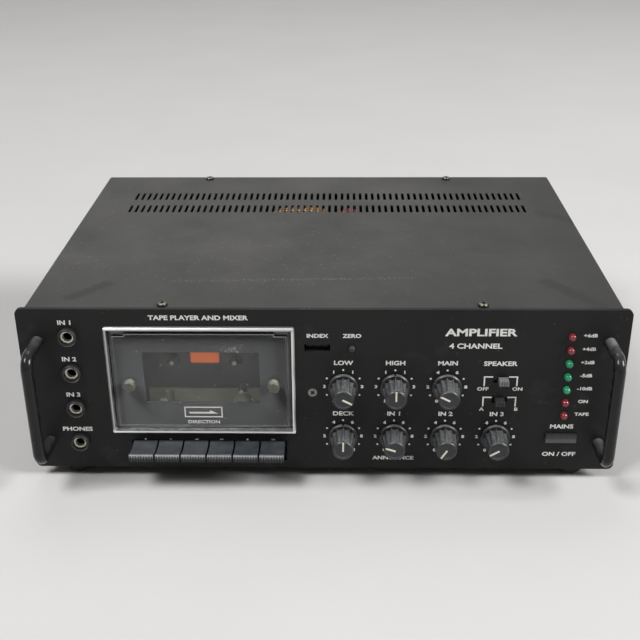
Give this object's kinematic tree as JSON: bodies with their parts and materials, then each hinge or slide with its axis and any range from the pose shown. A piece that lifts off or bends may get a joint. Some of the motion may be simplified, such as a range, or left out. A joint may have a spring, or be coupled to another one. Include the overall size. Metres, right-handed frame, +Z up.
{
  "type": "cassette public address amplifier",
  "caption": "Tabletop public address amplifier with a front cassette deck, piano keys, rotary level controls, jack inputs, level lights, carrying handles and a vented steel cover.",
  "frame": {"origin": "middle of the feet on the table, halfway along the depth", "axes": "+X to the right seen from the front, +Y to the rear, +Z up"},
  "size_m": [0.4, 0.325, 0.1304],
  "materials": {
    "panel_black": "satin black paint",
    "cover_paint": "matt dark grey paint",
    "plated_steel": "zinc plated sheet",
    "rubber": "matt black rubber",
    "screw_metal": "passivated steel",
    "handle_black": "satin black",
    "chrome": "bright chrome",
    "jack_metal": "dull nickel plate",
    "black_plastic": "moulded black",
    "door_grey": "moulded dark grey",
    "smoked_window": "smoked clear plastic",
    "post_metal": "turned grey metal",
    "deck_black": "matt black",
    "orange_plate": "orange plastic",
    "key_grey": "slate grey plastic",
    "knob_grey": "dark grey plastic",
    "reel_grey": "pale grey plastic",
    "olive_plate": "yellow passivated steel",
    "bright_steel": "ground steel",
    "brass": "turned brass",
    "red_lens": "red diffused resin",
    "green_lens": "green diffused resin",
    "circuit_board": "lacquered board",
    "core_steel": "varnished laminations",
    "winding_tape": "yellow tape",
    "sink_black": "black anodised"
  },
  "bodies": {
    "case": {"front_panel": "panel_black", "chassis_tray": "plated_steel", "rear_panel": "plated_steel", "top_cover": "cover_paint", "rubber_feet": "rubber", "cover_screws": "screw_metal", "panel_screws": "screw_metal", "left_handle": "handle_black", "right_handle": "handle_black", "jack_sockets": "jack_metal", "jack_nuts": "black_plastic", "cassette_bezel": "chrome", "deck_plate": "deck_black", "tape_reflector": "orange_plate", "key_shaft": "bright_steel", "potentiometers": "plated_steel", "switch_bodies": "plated_steel", "counter_frame": "black_plastic", "drive_motor": "plated_steel", "drive_belt": "rubber", "red_lights": "red_lens", "green_lights": "green_lens", "control_board": "circuit_board", "transformer_core": "core_steel", "transformer_winding": "winding_tape", "amplifier_board": "circuit_board", "heat_sink": "sink_black", "speaker_terminals": "black_plastic", "fuse_holder": "black_plastic", "cord_gland": "black_plastic"},
    "door": {"door_carrier": "door_grey", "door_window": "smoked_window", "door_posts": "post_metal"},
    "carriage": {"head_carriage": "olive_plate", "tape_heads": "bright_steel"},
    "record_key": {"record_key": "key_grey"},
    "play_key": {"play_key": "key_grey"},
    "rewind_key": {"rewind_key": "key_grey"},
    "forward_key": {"forward_key": "key_grey"},
    "stop_key": {"stop_key": "key_grey"},
    "pause_key": {"pause_key": "key_grey"},
    "bass_knob": {"bass_knob": "knob_grey"},
    "treble_knob": {"treble_knob": "knob_grey"},
    "master_knob": {"master_knob": "knob_grey"},
    "tape_knob": {"tape_knob": "knob_grey"},
    "mic_1_knob": {"mic_1_knob": "knob_grey"},
    "mic_2_knob": {"mic_2_knob": "knob_grey"},
    "mic_3_knob": {"mic_3_knob": "knob_grey"},
    "upper_switch_cap": {"upper_switch_cap": "black_plastic"},
    "lower_switch_cap": {"lower_switch_cap": "black_plastic"},
    "power_button": {"power_button": "black_plastic"},
    "reset_button": {"reset_button": "black_plastic"},
    "units_drum": {"units_drum": "black_plastic"},
    "tens_drum": {"tens_drum": "black_plastic"},
    "hundreds_drum": {"hundreds_drum": "black_plastic"},
    "supply_reel": {"supply_reel": "reel_grey"},
    "takeup_reel": {"takeup_reel": "reel_grey"},
    "capstan_flywheel": {"capstan_flywheel": "bright_steel"},
    "motor_pulley": {"motor_pulley": "brass"},
    "pinch_roller": {"pinch_roller": "rubber"}
  },
  "joints": [
    {"name": "door_tilt", "type": "hinge", "parent": "case", "child": "door", "pos_m": [-0.0807, -0.1285, 0.0408], "axis": [1, 0, 0], "range_deg": [0, 35]},
    {"name": "record_key_press", "type": "hinge", "parent": "case", "child": "record_key", "pos_m": [-0.12187, -0.093, 0.024], "axis": [1, 0, 0], "range_deg": [0, 8], "stiffness_Nm_per_rad": 0.05, "springref_deg": -11.46},
    {"name": "play_key_press", "type": "hinge", "parent": "case", "child": "play_key", "pos_m": [-0.10433, -0.093, 0.024], "axis": [1, 0, 0], "range_deg": [0, 8], "stiffness_Nm_per_rad": 0.05, "springref_deg": -11.46},
    {"name": "rewind_key_press", "type": "hinge", "parent": "case", "child": "rewind_key", "pos_m": [-0.08678, -0.093, 0.024], "axis": [1, 0, 0], "range_deg": [0, 8], "stiffness_Nm_per_rad": 0.05, "springref_deg": -11.46},
    {"name": "forward_key_press", "type": "hinge", "parent": "case", "child": "forward_key", "pos_m": [-0.06922, -0.093, 0.024], "axis": [1, 0, 0], "range_deg": [0, 8], "stiffness_Nm_per_rad": 0.05, "springref_deg": -11.46},
    {"name": "stop_key_press", "type": "hinge", "parent": "case", "child": "stop_key", "pos_m": [-0.05167, -0.093, 0.024], "axis": [1, 0, 0], "range_deg": [0, 8], "stiffness_Nm_per_rad": 0.05, "springref_deg": -11.46},
    {"name": "pause_key_press", "type": "hinge", "parent": "case", "child": "pause_key", "pos_m": [-0.03413, -0.093, 0.024], "axis": [1, 0, 0], "range_deg": [0, 8], "stiffness_Nm_per_rad": 0.05, "springref_deg": -11.46},
    {"name": "bass_knob_turn", "type": "hinge", "parent": "case", "child": "bass_knob", "pos_m": [0.0138, -0.141, 0.0723], "axis": [0, 1, 0], "range_deg": [-267, 33]},
    {"name": "treble_knob_turn", "type": "hinge", "parent": "case", "child": "treble_knob", "pos_m": [0.0483, -0.141, 0.0723], "axis": [0, 1, 0], "range_deg": [-150, 150]},
    {"name": "master_knob_turn", "type": "hinge", "parent": "case", "child": "master_knob", "pos_m": [0.0828, -0.141, 0.0723], "axis": [0, 1, 0], "range_deg": [-87, 213]},
    {"name": "tape_knob_turn", "type": "hinge", "parent": "case", "child": "tape_knob", "pos_m": [0.0138, -0.141, 0.0337], "axis": [0, 1, 0], "range_deg": [-151, 149]},
    {"name": "mic_1_knob_turn", "type": "hinge", "parent": "case", "child": "mic_1_knob", "pos_m": [0.0483, -0.141, 0.0337], "axis": [0, 1, 0], "range_deg": [-78, 222]},
    {"name": "mic_2_knob_turn", "type": "hinge", "parent": "case", "child": "mic_2_knob", "pos_m": [0.0828, -0.141, 0.0337], "axis": [0, 1, 0], "range_deg": [-3, 297]},
    {"name": "mic_3_knob_turn", "type": "hinge", "parent": "case", "child": "mic_3_knob", "pos_m": [0.1173, -0.141, 0.0337], "axis": [0, 1, 0], "range_deg": [-30, 270]},
    {"name": "upper_switch_slide", "type": "slide", "parent": "case", "child": "upper_switch_cap", "axis": [1, 0, 0], "range_m": [-0.0032, 0]},
    {"name": "lower_switch_slide", "type": "slide", "parent": "case", "child": "lower_switch_cap", "axis": [1, 0, 0], "range_m": [-0.0016, 0.0016]},
    {"name": "power_press", "type": "slide", "parent": "case", "child": "power_button", "axis": [0, 1, 0], "range_m": [0, 0.0025], "stiffness_N_per_m": 200, "springref_m": -0.002},
    {"name": "reset_press", "type": "slide", "parent": "case", "child": "reset_button", "axis": [0, 1, 0], "range_m": [0, 0.0022], "stiffness_N_per_m": 150, "springref_m": -0.002},
    {"name": "supply_reel_spin", "type": "hinge", "parent": "case", "child": "supply_reel", "pos_m": [-0.10195, -0.112, 0.084], "axis": [0, 1, 0], "continuous": true},
    {"name": "takeup_reel_spin", "type": "hinge", "parent": "case", "child": "takeup_reel", "pos_m": [-0.05945, -0.112, 0.084], "axis": [0, 1, 0], "continuous": true},
    {"name": "flywheel_spin", "type": "hinge", "parent": "case", "child": "capstan_flywheel", "pos_m": [-0.0557, -0.091, 0.0625], "axis": [0, 1, 0], "continuous": true},
    {"name": "pulley_spin", "type": "hinge", "parent": "case", "child": "motor_pulley", "pos_m": [-0.1177, -0.083, 0.058], "axis": [0, 1, 0], "continuous": true},
    {"name": "carriage_lift", "type": "slide", "parent": "case", "child": "carriage", "axis": [0, 0, 1], "range_m": [0, 0.004]},
    {"name": "roller_spin", "type": "hinge", "parent": "carriage", "child": "pinch_roller", "pos_m": [-0.0557, -0.117, 0.05055], "axis": [0, 1, 0], "continuous": true},
    {"name": "hundreds_drum_spin", "type": "hinge", "parent": "case", "child": "hundreds_drum", "pos_m": [-0.0083, -0.1199, 0.1013], "axis": [1, 0, 0], "continuous": true},
    {"name": "tens_drum_spin", "type": "hinge", "parent": "case", "child": "tens_drum", "pos_m": [-0.0033, -0.1199, 0.1013], "axis": [1, 0, 0], "continuous": true},
    {"name": "units_drum_spin", "type": "hinge", "parent": "case", "child": "units_drum", "pos_m": [0.0017, -0.1199, 0.1013], "axis": [1, 0, 0], "continuous": true}
  ],
  "couplings": [
    {"joint": "pulley_spin", "follows": "flywheel_spin", "ratio": 4.75},
    {"joint": "carriage_lift", "follows": "play_key_press", "m_per_rad": 0.0286},
    {"joint": "units_drum_spin", "follows": "takeup_reel_spin", "ratio": 0.5},
    {"joint": "tens_drum_spin", "follows": "takeup_reel_spin", "ratio": 0.05},
    {"joint": "hundreds_drum_spin", "follows": "takeup_reel_spin", "ratio": 0.005}
  ]
}
